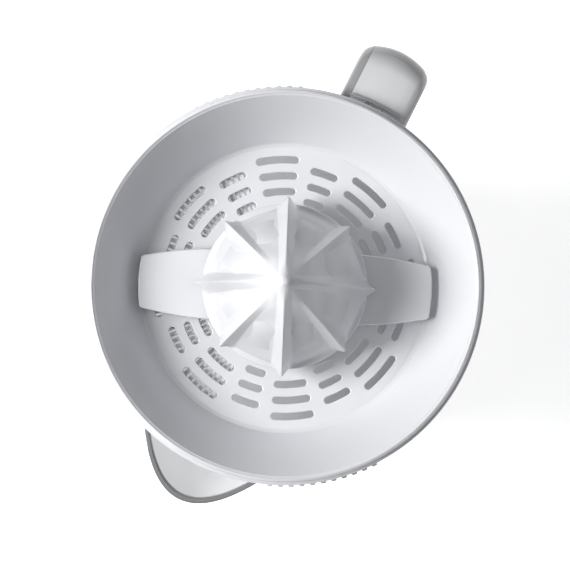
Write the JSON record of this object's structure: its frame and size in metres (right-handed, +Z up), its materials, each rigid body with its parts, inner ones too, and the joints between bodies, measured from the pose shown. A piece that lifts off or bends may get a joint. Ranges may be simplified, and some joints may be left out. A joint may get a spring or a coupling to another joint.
{
  "type": "citrus press juicer",
  "caption": "Electric citrus press: base with motor and gears, clear jug with spout and handle, slotted sieve with pulp selector, wiper and nested reamer cones.",
  "frame": {"origin": "on the drive axis at the level of the feet's soles, at the centre of the cord drum's underside", "axes": "+Z up along the drive axis, +X towards the jug's handle, -X towards its spout"},
  "size_m": [0.2099, 0.165, 0.2075],
  "materials": {
    "white_gloss": "moulded, high gloss",
    "white_satin": "moulded, satin",
    "clear_jug": "clear, faintly smoked, polished",
    "black_plastic": "moulded, fine texture",
    "acetal": "natural acetal",
    "rubber": "soft matt",
    "steel": "turned",
    "zinc_plate": "zinc plated",
    "bronze": "sintered"
  },
  "bodies": {
    "base": {"base_housing": "white_gloss", "base_plate": "white_satin", "foot_1": "rubber", "foot_2": "rubber", "foot_3": "rubber", "foot_4": "rubber", "plate_screw_1": "zinc_plate", "plate_screw_2": "zinc_plate", "plate_screw_3": "zinc_plate", "plate_screw_4": "zinc_plate", "cord_gland": "black_plastic", "gearbox_floor": "black_plastic", "gearbox_cover": "black_plastic", "gearbox_screw_1": "zinc_plate", "gearbox_screw_2": "zinc_plate", "gearbox_screw_3": "zinc_plate", "motor_can": "steel", "motor_end_cap": "black_plastic", "motor_screw_1": "zinc_plate", "motor_screw_2": "zinc_plate", "idler_pin": "steel", "spindle_bush": "bronze", "spindle_seal": "rubber", "micro_switch": "black_plastic"},
    "plunger": {"switch_plunger": "acetal"},
    "motor_shaft": {"motor_pinion": "bronze"},
    "idler": {"idler_gear": "acetal"},
    "output": {"output_gear": "acetal", "spindle_spring": "steel"},
    "spindle": {"drive_spindle": "steel"},
    "jug": {"jug": "clear_jug"},
    "sieve": {"sieve_bowl": "white_gloss"},
    "selector": {"pulp_selector": "white_satin"},
    "wiper": {"wiper": "white_gloss"},
    "inner_cone": {"small_cone": "white_satin"},
    "outer_cone": {"large_cone": "white_gloss"}
  },
  "joints": [
    {"name": "jug_lift", "type": "slide", "parent": "base", "child": "jug", "axis": [0, 0, 1], "range_m": [0, 0.1]},
    {"name": "sieve_lift", "type": "slide", "parent": "jug", "child": "sieve", "axis": [0, 0, 1], "range_m": [0, 0.09]},
    {"name": "selector_turn", "type": "hinge", "parent": "sieve", "child": "selector", "pos_m": [0, 0, 0.15], "axis": [0, 0, 1], "range_deg": [0, 22.5]},
    {"name": "cone_spin", "type": "hinge", "parent": "sieve", "child": "wiper", "pos_m": [0, 0, 0.15], "axis": [0, 0, 1], "continuous": true},
    {"name": "cone_press", "type": "slide", "parent": "wiper", "child": "inner_cone", "axis": [0, 0, 1], "range_m": [-0.0025, 0]},
    {"name": "cone_lift", "type": "slide", "parent": "inner_cone", "child": "outer_cone", "axis": [0, 0, 1], "range_m": [0, 0.07]},
    {"name": "output_spin", "type": "hinge", "parent": "base", "child": "output", "pos_m": [0, 0, 0.058], "axis": [0, 0, 1], "continuous": true},
    {"name": "spindle_press", "type": "slide", "parent": "output", "child": "spindle", "axis": [0, 0, 1], "range_m": [-0.0025, 0], "stiffness_N_per_m": 1500, "springref_m": 0.003, "deforming": ["spindle_spring"]},
    {"name": "switch_press", "type": "slide", "parent": "base", "child": "plunger", "axis": [0, 0, 1], "range_m": [-0.0025, 0]},
    {"name": "idler_spin", "type": "hinge", "parent": "base", "child": "idler", "pos_m": [0, 0.036, 0.056], "axis": [0, 0, 1], "continuous": true},
    {"name": "motor_spin", "type": "hinge", "parent": "base", "child": "motor_shaft", "pos_m": [0.01949, 0.02475, 0.052], "axis": [0, 0, 1], "continuous": true}
  ],
  "couplings": [
    {"joint": "output_spin", "follows": "cone_spin", "ratio": 1},
    {"joint": "idler_spin", "follows": "cone_spin", "ratio": -5},
    {"joint": "motor_spin", "follows": "cone_spin", "ratio": 20},
    {"joint": "cone_press", "follows": "spindle_press", "ratio": 1},
    {"joint": "switch_press", "follows": "spindle_press", "ratio": 1}
  ]
}
